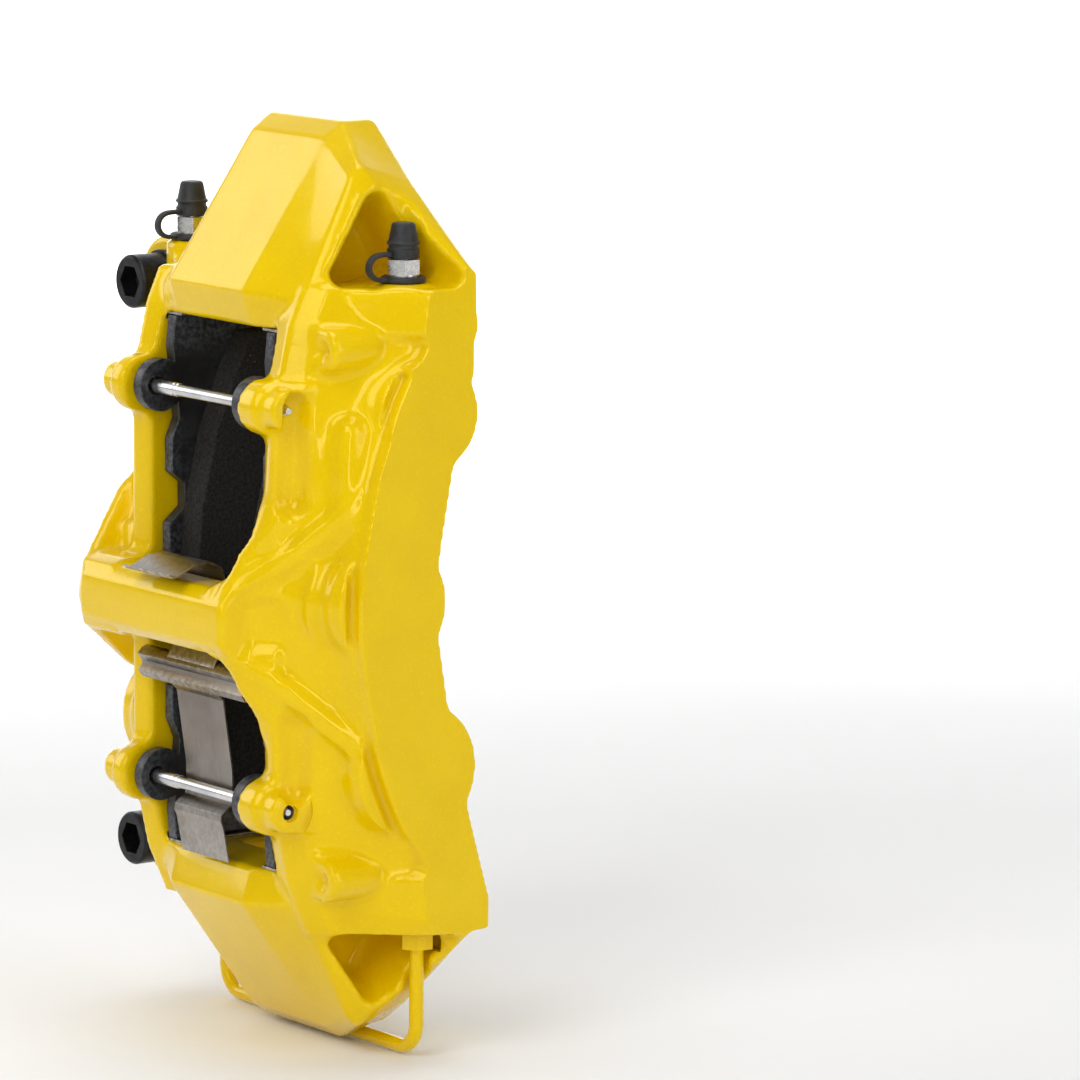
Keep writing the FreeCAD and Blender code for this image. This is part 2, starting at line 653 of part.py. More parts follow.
def make_pad(side):
    """Backing plate with pin ears, friction lining bonded to it, and the shim behind it."""
    low, high = span(SIDES[side], "plate_back - plate_thickness", "plate_back")
    plate = new_body(side + "_backing_plate")
    pad(plate, side + "_plate", "Y", plate_outline(), low, high)
    for end, sign in ENDS.items():
        centre = ("-pin_x + 2.6", "%d * pin_z" % sign)
        round_feature(plate, "%s_%s_ear" % (side, end), "Additive", "Y", centre, low, high, "ear_radius")
    for end, sign in ENDS.items():
        centre = ("-pin_x", "%d * pin_z" % sign)
        round_feature(plate, "%s_%s_ear_hole" % (side, end), "Subtractive", "Y", centre, low + " - 1",
                      high + " + 1", "ear_hole")

    steps = (-82, -70, -50, -25, 0, 25, 50, 70, 82)
    arc = [("-sqrt(lining_outer^2 - %d^2)" % abs(z), z) for z in steps]
    inner = [("-sqrt((pad_inner + 3)^2 - %d^2)" % abs(z), z) for z in (70, 50, 25, 0, -25, -50, -70)]
    low, high = span(SIDES[side], "lining_face", "plate_back - plate_thickness")
    lining = new_body(side + "_friction_lining")
    pad(lining, side + "_lining", "Y", [("-100", "-82")] + arc + [("-100", "82")] + inner, low, high)
    face_low, face_high = span(SIDES[side], "lining_face - 1", "lining_face + 7")
    slot = [("-170", "-1.5"), ("-90", "-1.5"), ("-90", "1.5"), ("-170", "1.5")]
    pocket(lining, side + "_wear_slot", "Y", slot, face_low, face_high)

    low, high = span(SIDES[side], "plate_back", "plate_back + shim_thickness")
    shim = new_body(side + "_shim")
    edge = [("-112", "-80"), ("-160", "-84"), ("-160", "-26"), ("-156", "-20"), ("-156", "20"), ("-160", "26"),
            ("-160", "84"), ("-112", "80"), ("-118", "30"), ("-118", "-30")]
    pad(shim, side + "_shim_sheet", "Y", edge, low, high)


def make_keeper(side, end):
    """Steel abutment plate that the end of a pad slides on."""
    body = new_body("%s_%s_abutment_plate" % (side, end), ("0", "%d * keeper_y" % SIDES[side], "0"))
    low, high = span(ENDS[end], "end_wall - keeper_thickness", "end_wall")
    sheet = [("-164", "-keeper_half"), ("-118", "-keeper_half"), ("-118", "keeper_half"), ("-164", "keeper_half")]
    pad(body, "%s_%s_keeper" % (side, end), "Z", sheet, low, high)
    round_feature(body, "%s_%s_keeper_hole" % (side, end), "Subtractive", "Z", ("-keeper_screw_x", "0"),
                  low + " - 1", high + " + 1", "1.3")


def make_keeper_screws():
    """Four small screws that hold the abutment plates, flush with their faces."""
    screws = []
    for side, sign in SIDES.items():
        for end, up in ENDS.items():
            low, high = span(up, "end_wall - keeper_thickness", "end_wall + 6")
            screws.append(rod("%s_%s_keeper_screw" % (side, end), "Z",
                              ("-keeper_screw_x", "%d * keeper_y" % sign), low, high, "1.2"))
    place(join("keeper_screw_set", screws), "abutment_screws")


def make_pin(end):
    """Pad pin: guided at both ends, relieved in the middle, with a collar behind the disc."""
    body = new_body(end + "_pad_pin", ("-pin_x", "0", "%d * pin_z" % ENDS[end]))
    profile = [("0", "-pin_tip"), ("1", "-pin_tip"), ("2", "-pin_tip + 2.5"), ("pin_radius", "-pin_tip + 4"),
               ("pin_radius", "-32"), ("pin_radius - 0.4", "-31"), ("pin_radius - 0.4", "12"),
               ("pin_radius", "12.4"), ("pin_radius", "13.2"), ("pin_radius - 0.35", "13.5"),
               ("pin_radius - 0.35", "14.3"), ("pin_radius", "14.6"), ("pin_radius", "pin_tail - 1"),
               ("pin_radius - 1", "pin_tail"), ("0", "pin_tail")]
    turned(body, end + "_pin", profile)


def ribbon(points):
    """Outline of a thin sheet that follows a centre line seen along Y."""
    half = DIMENSIONS["leaf_thickness"] / 2
    left, right = [], []
    for index, point in enumerate(points):
        before = VECTOR(*points[max(index - 1, 0)])
        after = VECTOR(*points[min(index + 1, len(points) - 1)])
        run = (after - before).normalize()
        side = VECTOR(-run.y, run.x, 0) * half
        left.append((point[0] + side.x, point[1] + side.y))
        right.append((point[0] - side.x, point[1] - side.y))
    return [("%.3f" % u, "%.3f" % v) for u, v in left + right[::-1]]


SPRING_LEAF = [(-193.6, 9.4), (-192.4, 8.3), (-190.5, 8.6), (-184.0, 11.6), (-178.0, 12.2), (-173.4, 10.0),
               (-171.6, 5.0), (-171.4, -14.0), (-172.4, -18.0), (-175.0, -20.5), (-176.4, -23.0)]
SPRING_BAR = [(-173.4, -21.6), (-175.6, -22.4), (-177.2, -24.0), (-175.4, -26.2), (-175.2, -27.6),
              (-176.8, -29.6), (-175.4, -31.6), (-173.0, -32.2)]
SPRING_TAIL = [(-174.6, -32.0), (-172.6, -34.0), (-171.0, -45.0), (-169.0, -58.0), (-168.7, -66.0),
               (-169.4, -69.4), (-171.6, -70.8), (-173.4, -72.2), (-173.6, -74.2), (-172.6, -76.6),
               (-170.4, -88.2)]


def make_spring():
    """Anti-rattle spring: a folded leaf under the bridge, a ribbed cross-bar over both pads and a
    tail that is held down by the lower pin."""
    body = new_body("anti_rattle_spring")
    pad(body, "spring_leaf", "Y", ribbon(SPRING_LEAF), "-leaf_half", "leaf_half")
    pad(body, "spring_bar", "Y", ribbon(SPRING_BAR), "-30", "30")
    pad(body, "spring_tail", "Y", ribbon(SPRING_TAIL), "-leaf_half", "leaf_half")


def make_bleeder(side):
    """Bleed screw, the rubber cap on its nipple and the cap's tether round its base."""
    at = bleed_place(side)
    screw = new_body(side + "_bleed_screw", at)
    profile = [("0.9", "-7"), ("0.9", "15.5"), ("2.2", "15.5"), ("3.1", "13.6"), ("2.6", "12.6"),
               ("2.6", "7.6"), ("4.6", "7.6"), ("4.6", "2.8"), ("5.2", "2.8"), ("5.2", "0.2"),
               ("bleed_thread - 0.05", "0.2"), ("bleed_thread - 0.05", "-8"), ("2.6", "-10.6"),
               ("1.6", "-10.6"), ("1.6", "-7")]
    turned_up(screw, side + "_bleed_stem", profile)
    pad(screw, side + "_bleed_hex", "Z", hexagon("bleed_flats"), "2.8", "7.6")
    round_feature(screw, side + "_bleed_way", "Subtractive", "Z", ("0", "0"), "-8", "16", "0.9")

    cap = new_body(side + "_bleed_cap", at)
    shell = [("0", "19.4"), ("3.2", "19.4"), ("3.8", "18.8"), ("4.9", "13.4"), ("5.4", "13.2"), ("5.4", "12.5"),
             ("4.8", "12.2"), ("4.8", "11.2"), ("5.3", "10.8"), ("5.3", "8.0"), ("3.2", "8.0"),
             ("3.2", "14.2"), ("2.4", "15.8"), ("0", "15.8")]
    turned_up(cap, side + "_cap_shell", shell)

    tether = new_body(side + "_cap_tether", at)
    ring = [("5.3", "0.1"), ("7.6", "0.1"), ("7.6", "1.6"), ("6.6", "2.3"), ("5.3", "2.3")]
    turned_up(tether, side + "_tether_ring", ring)
    strap = [("-7.2", "0.3"), ("-11", "0.4"), ("-13.6", "2.2"), ("-14.6", "5.2"), ("-13.4", "8.2"),
             ("-10.8", "10"), ("-5.6", "10.2"), ("-5.6", "8.6"), ("-10.4", "8.4"), ("-12", "7.4"),
             ("-12.8", "5.2"), ("-12", "3.4"), ("-10.4", "2.2"), ("-7.2", "2.1")]
    pad(tether, side + "_tether_strap", "Y", strap, "-2", "2")


def make_crossover_tube():
    """Steel pipe that carries fluid under the lower bridge from one bank to the other."""
    body = new_body("crossover_tube", ("-tube_x", "0", "0"))
    path = body.newObject("Sketcher::SketchObject", "tube_path")
    attach(path, body, "X", "0")
    y, drop, bend = value("tube_y"), value("tube_drop"), value("tube_bend")
    top = -value("lower_ledge - pipe_hole + 0.4")
    quarter = math.pi / 2

    def arc(centre_y, start):
        circle = Part.Circle(VECTOR(centre_y, -drop + bend, 0), VECTOR(0, 0, 1), bend)
        return Part.ArcOfCircle(circle, start, start + quarter)

    for piece in (Part.LineSegment(VECTOR(-y, top, 0), VECTOR(-y, -drop + bend, 0)),
                  arc(-y + bend, 2 * quarter),
                  Part.LineSegment(VECTOR(-y + bend, -drop, 0), VECTOR(y - bend, -drop, 0)),
                  arc(y - bend, 3 * quarter),
                  Part.LineSegment(VECTOR(y, -drop + bend, 0), VECTOR(y, top, 0))):
        path.addGeometry(piece, False)
    section = body.newObject("Sketcher::SketchObject", "tube_section")
    attach(section, body, "Z", "-lower_ledge + pipe_hole - 0.4")
    section.addGeometry(Part.Circle(VECTOR(0, -y, 0), VECTOR(0, 0, 1), value("tube_radius")), False)
    section.addGeometry(Part.Circle(VECTOR(0, -y, 0), VECTOR(0, 0, 1), value("tube_radius") - 0.9), False)
    for index, radius in enumerate(("tube_radius", "tube_radius - 0.9")):
        number = section.addConstraint(Sketcher.Constraint("Radius", index, value(radius)))
        bind(section, "Constraints[%d]" % number, radius)
    pipe = body.newObject("PartDesign::AdditivePipe", "tube_sweep")
    pipe.Profile = section
    pipe.Spine = path


def make_tube_nut(side):
    """Flare nut that clamps one end of the pipe."""
    body = new_body(side + "_tube_nut", ("-tube_x", "%d * tube_y" % SIDES[side], "-lower_ledge - bleed_seat"))
    profile = [("tube_radius + 0.05", "-nut_height - 0.3"), ("4.2", "-nut_height - 0.3"), ("4.2", "-0.3"),
               ("pipe_thread - 0.05", "-0.3"), ("pipe_thread - 0.05", "7.6"), ("tube_radius + 0.05", "7.6")]
    turned_up(body, side + "_nut_thread", profile)
    pad(body, side + "_nut_hex", "Z", hexagon("nut_flats"), "-nut_height - 0.3", "-0.3")
    round_feature(body, side + "_nut_way", "Subtractive", "Z", ("0", "0"), "-nut_height - 1", "9",
                  "tube_radius + 0.05")


def make_mounting_bolt(end):
    """Socket-head bolt through a mounting lug, with its washer; the thread stands out of the lug."""
    at = ("-lug_top", "seat_to_middle", "%d * mount_spacing / 2" % ENDS[end])
    bolt = new_body(end + "_mounting_bolt", at)
    seat = "-washer_thickness"
    lug_face = "lug_top - seat_to_axis"
    tip = lug_face + " + mount_bolt_free"
    profile = [(seat + " - mount_head_height", "0"), (seat + " - mount_head_height", "mount_head_radius - 0.8"),
               (seat + " - mount_head_height + 0.8", "mount_head_radius"), (seat, "mount_head_radius"),
               (seat, "mount_shank_radius"), (lug_face, "mount_shank_radius"),
               (lug_face, "mount_bolt_radius"), (tip + " - 1.2", "mount_bolt_radius"),
               (tip, "mount_bolt_radius - 1.2"), (tip, "0")]
    turned(bolt, end + "_bolt_shape", profile, "H_Axis")
    pocket(bolt, end + "_bolt_socket", "X", hexagon("mount_socket"), seat + " - mount_head_height - 1",
           seat + " - mount_head_height + 6.5")
    washer = new_body(end + "_mounting_washer", at)
    round_feature(washer, end + "_washer_disc", "Additive", "X", ("0", "0"), "-washer_thickness", "0",
                  "washer_radius")
    round_feature(washer, end + "_washer_hole", "Subtractive", "X", ("0", "0"), "-washer_thickness - 1", "1",
                  "mount_bolt_radius + 0.3")


def write_parts():
    """Recompute, refuse anything broken, and write one STEP file per node."""
    DOC.recompute()
    for item in DOC.Objects:
        if "Invalid" in item.State or "Error" in item.State:
            raise RuntimeError("%s failed: %s" % (item.Name, item.getStatusString()))
    os.makedirs("parts", exist_ok=True)
    for node in NODES:
        if node.Shape.isNull() or not node.Shape.isValid():
            raise RuntimeError("%s has no valid shape" % node.Label)
        node.Shape.exportStep("parts/%s.step" % node.Label)
        print("%-34s solids %d  volume %10.1f" % (node.Label, len(node.Shape.Solids), node.Shape.Volume))


make_casting()
for bank_side in SIDES:
    for cylinder in CYLINDERS:
        make_cylinder_set(bank_side, cylinder)
    make_pad(bank_side)
    make_bleeder(bank_side)
    make_tube_nut(bank_side)
    for bank_end in ENDS:
        make_keeper(bank_side, bank_end)
for bolt_end in ENDS:
    make_pin(bolt_end)
    make_mounting_bolt(bolt_end)
make_keeper_screws()
make_spring()
make_crossover_tube()
write_parts()
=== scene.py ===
import json
import math

import bmesh
import bpy
import numpy as np
import openvdb
from mathutils import Matrix, Vector


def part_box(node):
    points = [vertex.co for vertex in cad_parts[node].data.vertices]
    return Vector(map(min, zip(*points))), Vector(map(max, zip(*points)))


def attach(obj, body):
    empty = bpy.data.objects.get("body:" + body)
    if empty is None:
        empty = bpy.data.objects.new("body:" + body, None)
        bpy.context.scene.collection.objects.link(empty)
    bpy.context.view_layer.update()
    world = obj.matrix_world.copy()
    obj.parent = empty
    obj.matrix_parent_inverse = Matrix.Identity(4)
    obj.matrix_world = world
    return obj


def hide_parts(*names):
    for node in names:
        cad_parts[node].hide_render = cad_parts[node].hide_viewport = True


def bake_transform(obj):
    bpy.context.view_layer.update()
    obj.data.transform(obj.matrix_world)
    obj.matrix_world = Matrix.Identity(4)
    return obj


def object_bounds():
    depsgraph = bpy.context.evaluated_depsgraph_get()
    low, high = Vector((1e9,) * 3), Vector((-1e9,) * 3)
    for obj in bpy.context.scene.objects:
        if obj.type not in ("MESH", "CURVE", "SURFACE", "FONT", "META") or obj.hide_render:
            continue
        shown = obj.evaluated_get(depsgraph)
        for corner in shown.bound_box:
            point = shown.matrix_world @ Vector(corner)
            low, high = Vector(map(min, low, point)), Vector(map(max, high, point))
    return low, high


MM = 0.001
SIDES = {"outboard": -1, "inboard": 1}
ENDS = {"upper": 1, "lower": -1}
CYLINDERS = ("upper", "middle", "lower")

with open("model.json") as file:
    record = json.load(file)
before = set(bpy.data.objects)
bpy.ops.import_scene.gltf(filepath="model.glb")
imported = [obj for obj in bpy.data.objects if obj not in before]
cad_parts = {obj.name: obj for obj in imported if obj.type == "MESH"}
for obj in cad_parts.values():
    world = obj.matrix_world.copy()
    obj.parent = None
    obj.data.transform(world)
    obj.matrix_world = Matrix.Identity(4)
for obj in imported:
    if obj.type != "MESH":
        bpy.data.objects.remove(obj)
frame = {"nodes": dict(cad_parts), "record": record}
NODES = frame["nodes"]
CAD_LOW, CAD_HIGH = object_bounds()
BODY_OF = {node: body for body, nodes in frame["record"]["behaviour"]["bodies"].items()
           for node in nodes}
SLOT_OF = {row["node"]: row["material_slot"] for row in frame["record"]["subparts"]}

# The caliper's own axes, as part.py has them: the disc turns about Y through X = 0, Z = 0.
AXES = Vector((115.0, -65.0, 0.0)) * MM


def spot(x, y, z):
    """A point in the caliper's own axes, millimetres, carried to the row frame."""
    return Vector((x, y, z)) * MM + AXES


# ---------------------------------------------------------------------------------------------
# Materials


class Finish:
    """One procedural material: nodes are added to it by name and joined to the surface shader."""

    def __init__(self, name, **sockets):
        self.material = bpy.data.materials.new(name)
        self.material.use_nodes = True
        self.tree = self.material.node_tree
        self.shader = self.tree.nodes["Principled BSDF"]
        for socket, number in sockets.items():
            self.shader.inputs[socket.replace("_", " ")].default_value = number
        self.place = self.tree.nodes.new("ShaderNodeTexCoord").outputs["Object"]

    def node(self, kind, inputs=None, **settings):
        made = self.tree.nodes.new("ShaderNode" + kind)
        for name, setting in settings.items():
            setattr(made, name, setting)
        for name, source in (inputs or {}).items():
            if isinstance(source, bpy.types.NodeSocket):
                self.tree.links.new(source, made.inputs[name])
            else:
                made.inputs[name].default_value = source
        return made

    def noise(self, scale, detail=3.0, rough=0.55, stretch=None):
        place = self.place
        if stretch:
            place = self.node("Mapping", {"Vector": place, "Scale": stretch}).outputs["Vector"]
        return self.node("TexNoise", {"Vector": place, "Scale": scale, "Detail": detail,
                                      "Roughness": rough}).outputs["Fac"]

    def cells(self, scale):
        """Distance to the middle of the nearest cell."""
        return self.node("TexVoronoi", {"Vector": self.place, "Scale": scale}).outputs["Distance"]

    def spread(self, source, low, high, to_low=0.0, to_high=1.0):
        """Map a value range of one field to another, clamped."""
        return self.node("MapRange", {"Value": source, "From Min": low, "From Max": high,
                                      "To Min": to_low, "To Max": to_high}).outputs["Result"]

    def mixed(self, share, first, second):
        """Blend two colours or colour fields."""
        made = self.node("Mix", data_type="RGBA")
        made.inputs[0].default_value = 0.5
        self.tree.links.new(share, made.inputs[0])
        for socket, colour in ((made.inputs[6], first), (made.inputs[7], second)):
            if isinstance(colour, bpy.types.NodeSocket):
                self.tree.links.new(colour, socket)
            else:
                socket.default_value = (*colour, 1.0)
        return made.outputs[2]

    def edges(self, low, high, to_low=0.0, to_high=1.0):
        """Map pointiness: below 0.5 is a crease and above 0.5 a raised edge."""
        pointed = self.node("NewGeometry").outputs["Pointiness"]
        return self.spread(pointed, low, high, to_low, to_high)

    def times(self, first, second):
        return self.node("Math", {0: first, 1: second}, operation="MULTIPLY").outputs[0]

    def paint(self, colour=None, roughness=None, heights=(), coat_roughness=None, metallic=None):
        """Join fields to the shader; heights are (field, depth in metres) pairs for bump."""
        for socket, source in (("Base Color", colour), ("Roughness", roughness), ("Metallic", metallic)):
            if source is not None:
                self.tree.links.new(source, self.shader.inputs[socket])
        if coat_roughness is not None:
            self.shader.inputs["Coat Roughness"].default_value = coat_roughness
        normal = None
        for field, depth in heights:
            bump = self.node("Bump", {"Height": field, "Distance": depth, "Strength": 1.0})
            if normal:
                self.tree.links.new(normal, bump.inputs["Normal"])
            normal = bump.outputs["Normal"]
        if normal:
            self.tree.links.new(normal, self.shader.inputs["Normal"])
        return self.material


def enamel(name):
    """Thick yellow enamel over a cast surface: gentle waviness, fine grain, and painted shade that
    darkens it in the creases.
    """
    f = Finish(name, Metallic=0.0, Coat_Weight=0.35, Coat_IOR=1.5, Specular_IOR_Level=0.5,
               Specular_Tint=(1.0, 0.82, 0.08, 1.0))
    mottle = f.spread(f.noise(38, 4), 0.35, 0.65)
    body = f.mixed(mottle, (0.79, 0.52, 0.0), (0.83, 0.56, 0.0))
    specks = f.spread(f.noise(900, 2), 0.55, 0.75, 0, 0.5)
    body = f.mixed(specks, body, (0.90, 0.68, 0.0))
    # Painted shade: concave creases are darkened towards brown-yellow to stand in for the shadow that
    # falls in them.
    painted_crease_shade = f.edges(0.42, 0.49, 0.75, 0.0)
    body = f.mixed(painted_crease_shade, body, (0.50, 0.27, 0.0))
    gloss = f.spread(f.noise(160, 3), 0.3, 0.7, 0.13, 0.22)
    return f.paint(body, gloss, [(f.noise(120, 2), 0.00014), (f.noise(1400, 2), 0.00002)],
                   coat_roughness=0.05)


def bare_aluminium(name):
    """Machined aluminium in bores and on spotfaces, with fine tool rings."""
    f = Finish(name, Metallic=1.0)
    rings = f.noise(900, 2, stretch=(0.1, 1.0, 1.0))
    tone = f.mixed(f.spread(f.noise(60), 0.35, 0.65), (0.56, 0.55, 0.53), (0.66, 0.65, 0.63))
    return f.paint(tone, f.spread(rings, 0.3, 0.7, 0.28, 0.48), [(rings, 0.00002)])


def turned_steel(name, tone, darker, low, high, stretch):
    """Bright steel turned or ground along one axis, with faint handling marks."""
    f = Finish(name, Metallic=1.0)
    marks = f.noise(1100, 3, stretch=stretch)
    smears = f.spread(f.noise(75, 4), 0.45, 0.7)
    colour = f.mixed(smears, tone, darker)
    return f.paint(colour, f.spread(marks, 0.3, 0.7, low, high), [(marks, 0.000018)])


def black_plate(name):
    """Black coated plate whose edges are rubbed through to blue-grey metal."""
    f = Finish(name, Specular_IOR_Level=0.55)
    chips = f.spread(f.noise(700, 4), 0.42, 0.62)
    rub = f.times(f.edges(0.53, 0.60), chips)
    mottle = f.spread(f.noise(120, 4), 0.35, 0.65)
    colour = f.mixed(mottle, (0.010, 0.010, 0.011), (0.022, 0.022, 0.024))
    colour = f.mixed(rub, colour, (0.17, 0.20, 0.25))
    return f.paint(colour, f.spread(f.noise(260, 3), 0.3, 0.7, 0.30, 0.48),
                   [(f.noise(1300, 2), 0.00006)], metallic=f.times(rub, rub))


def friction_material(name):
    """Pressed pad compound: dark binder with grit, fibre ends and a few brass flecks."""
    f = Finish(name, Specular_IOR_Level=0.25)
    grit = f.spread(f.noise(900, 5, 0.7), 0.35, 0.68)
    colour = f.mixed(grit, (0.010, 0.0095, 0.009), (0.034, 0.032, 0.030))
    pale = f.spread(f.cells(650), 0.0, 0.14, 0.8, 0.0)
    colour = f.mixed(pale, colour, (0.10, 0.095, 0.09))
    brass = f.times(f.spread(f.cells(330), 0.0, 0.10, 1.0, 0.0), f.spread(f.noise(150), 0.5, 0.6))
    colour = f.mixed(brass, colour, (0.33, 0.24, 0.08))
    return f.paint(colour, f.spread(grit, 0, 1, 0.95, 0.78), [(f.noise(900, 5, 0.7), 0.0003),
                                                            (f.cells(520), 0.00012)])


def spring_leaf_steel(name):
    """Rolled stainless strip, tinted brown-grey, with rolling streaks along its length."""
    f = Finish(name, Metallic=1.0, Anisotropic=0.45)
    streaks = f.noise(420, 4, 0.65, stretch=(1.0, 6.0, 0.35))
    tint = f.spread(f.noise(26, 3), 0.32, 0.68)
    colour = f.mixed(tint, (0.205, 0.175, 0.150), (0.335, 0.310, 0.285))
    colour = f.mixed(f.spread(streaks, 0.55, 0.75, 0, 0.5), colour, (0.15, 0.13, 0.12))
    rub = f.times(f.edges(0.52, 0.60), f.spread(f.noise(500, 3), 0.4, 0.6))
    colour = f.mixed(rub, colour, (0.5, 0.48, 0.45))
    return f.paint(colour, f.spread(streaks, 0.3, 0.7, 0.24, 0.42), [(streaks, 0.00003)])


def zinc_plate(name):
    """Clear-passivated zinc with crystalline spangle."""
    f = Finish(name, Metallic=1.0)
    spangle = f.spread(f.cells(900), 0.0, 0.9)
    colour = f.mixed(spangle, (0.62, 0.63, 0.64), (0.78, 0.77, 0.72))
    return f.paint(colour, f.spread(f.noise(500, 3), 0.3, 0.7, 0.20, 0.38),
                   [(f.noise(1400, 2), 0.00002)])


def rubber(name, tone, low, high):
    """Moulded black rubber with a slight bloom and a fine mould texture."""
    f = Finish(name, Specular_IOR_Level=0.42, Sheen_Weight=0.06, Sheen_Roughness=0.5)
    bloom = f.spread(f.noise(210, 5, 0.65), 0.42, 0.72)
    colour = f.mixed(bloom, tone, tuple(c * 2.6 + 0.004 for c in tone))
    return f.paint(colour, f.spread(f.noise(420, 3), 0.3, 0.7, low, high), [(f.noise(1600, 2), 0.00005)])


def black_oxide(name):
    """Oil-blackened bolt steel, rubbed brighter on its edges."""
    f = Finish(name, Metallic=0.85)
    rub = f.times(f.edges(0.53, 0.62), f.spread(f.noise(600, 3), 0.42, 0.6))
    colour = f.mixed(f.spread(f.noise(180, 4), 0.35, 0.65), (0.018, 0.018, 0.020), (0.035, 0.035, 0.038))
    colour = f.mixed(rub, colour, (0.22, 0.22, 0.23))
    return f.paint(colour, f.spread(f.noise(350, 3), 0.3, 0.7, 0.30, 0.50),
                   [(f.noise(1200, 2), 0.00003)])


FINISHES = {
    "painted_casting": enamel("enamel_casting"),
    "painted_fitting": enamel("enamel_fitting"),
    "piston_steel": turned_steel("piston_steel", (0.62, 0.62, 0.63), (0.48, 0.48, 0.50), 0.22, 0.36,
                                 (1, 8, 1)),
    "seal_rubber": rubber("seal_rubber", (0.010, 0.010, 0.011), 0.50, 0.66),
    "plate_black": black_plate("plate_black"),
    "friction": friction_material("friction_compound"),
    "shim_steel": turned_steel("shim_steel", (0.20, 0.20, 0.21), (0.12, 0.12, 0.13), 0.34, 0.50,
                               (1, 1, 5)),
    "spring_steel": spring_leaf_steel("spring_steel"),
    "bright_steel": turned_steel("bright_steel", (0.70, 0.70, 0.71), (0.52, 0.52, 0.54), 0.16, 0.30,
                                 (1, 9, 1)),
    "zinc": zinc_plate("zinc_plate"),
    "cap_rubber": rubber("cap_rubber", (0.012, 0.012, 0.013), 0.44, 0.62),
    "black_bolt": black_oxide("black_oxide"),
}
BARE = bare_aluminium("bare_aluminium")


# ---------------------------------------------------------------------------------------------
# Mesh helpers

WELD = 0.002 * MM
FLAT_ANGLE = math.radians(0.6)
SHARP_ANGLE = math.radians(28)


def link(name, data):
    """Put a new object for this data in the scene."""
    made = bpy.data.objects.new(name, data)
    bpy.context.scene.collection.objects.link(made)
    return made


def new_piece(name, mesh, body, slot, replaced=()):
    """Link a finished mesh, give it its finish and let it ride on its CAD body."""
    piece = link(name, mesh)
    if not mesh.materials:
        mesh.materials.append(FINISHES[slot])
    if body:
        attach(piece, body)
    if replaced:
        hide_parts(*replaced)
    return piece


def mesh_of(name, bm):
    """Turn finished edit data into a mesh."""
    mesh = bpy.data.meshes.new(name)
    bm.to_mesh(mesh)
    bm.free()
    return mesh


def smooth_by_angle(mesh, degrees):
    """Shade smooth, with edges sharper than the angle kept sharp."""
    mesh.polygons.foreach_set("use_smooth", np.ones(len(mesh.polygons), bool))
    mesh.set_sharp_from_angle(angle=math.radians(degrees))


def even_normals(piece):
    """Flat faces stay flat up to their rounded edges."""
    piece.modifiers.new("even_normals", "WEIGHTED_NORMAL").keep_sharp = True


def refined(node, width, segments=2):
    """A copy of a CAD node with welded faces and rounded edges, standing for the node."""
    bm = bmesh.new()
    bm.from_mesh(NODES[node].data)
    bmesh.ops.remove_doubles(bm, verts=bm.verts, dist=WELD)
    bmesh.ops.dissolve_limit(bm, angle_limit=FLAT_ANGLE, verts=bm.verts, edges=bm.edges)
    sharp = [e for e in bm.edges if len(e.link_faces) == 2 and e.calc_face_angle(0) > SHARP_ANGLE]
    bmesh.ops.bevel(bm, geom=sharp, offset=width, segments=segments, profile=0.5, affect="EDGES",
                    clamp_overlap=True)
    mesh = mesh_of(node + "_refined", bm)
    smooth_by_angle(mesh, 40)
    piece = new_piece(node + "_refined", mesh, BODY_OF[node], SLOT_OF[node], (node,))
    even_normals(piece)
    return piece


# ---------------------------------------------------------------------------------------------
# Casting: the CAD shape with cast fillets and softened edges, then its machined holes cut sharply

# Millimetres, and levels in the caliper's own axes.
VOXEL = 0.8
FILLET = 3.0
SOFTEN = 1.2
TRIANGLES = 190000
FACE = -69.4
FACE_INNER = -90
BEYOND = 200


def closed_grid(points, faces, reach):
    """Distance field round a closed surface, in millimetres, true up to a reach on both sides."""
    corners = faces.shape[1]
    shapes = {"triangles": np.zeros((0, 3), np.uint32), "quads": np.zeros((0, 4), np.uint32)}
    shapes["triangles" if corners == 3 else "quads"] = faces
    return openvdb.FloatGrid.createLevelSetFromPolygons(
        points.astype(np.float32), **shapes, transform=openvdb.createLinearTransform(voxelSize=VOXEL),
        halfWidth=reach / VOXEL + 2)


def offset_surface(grid, distance):
    """Points and quads of the surface at a distance outside the shape."""
    points, _, quads = grid.convertToPolygons(isovalue=distance)
    return points, quads


def strand_distance(where, path):
    """Distance from each place to a chain of straight runs."""
    best = None
    for start, end in zip(path, path[1:]):
        run = end - start
        share = np.clip(((where - start) @ run) / (run @ run), 0, 1)
        gap = np.linalg.norm(where - (start + share[..., None] * run), axis=-1)
        best = gap if best is None else np.minimum(best, gap)
    return best


def face_rim(radius, y):
    """A chain of points along the outer edge of the wheel-side face."""
    return [(-math.sqrt(radius ** 2 - z ** 2), y, z) for z in range(-76, 77, 8)]


# Relief of the casting that is only skin deep: (1 to add or -1 to carve, radius, blend, path), and
# the corners of the box that holds it.
RELIEF_LOW = (-182, -78, -84)
RELIEF_HIGH = (-138, -28, 84)
RELIEF = [
    (1, 6.0, 5.0, [(-166, -42, 54), (-167, -41, 38), (-168.5, -38, 24)]),
    (1, 6.0, 5.0, [(-166, -42, -54), (-166.5, -41, -40)]),
    (1, 4.5, 3.5, [(-153.5, -57.5, 58), (-154.5, -57.5, 44), (-154.5, -57.5, 30)]),
    (-1, 5.0, 3.0, [(-169.5, -49.5, 66), (-170, -49, 52), (-170, -48, 36)]),
    (-1, 5.0, 3.0, [(-170, -49, -38), (-169.5, -49.5, -58)]),
    (-1, 1.7, 1.0, face_rim(159.0, -66.3)),
]


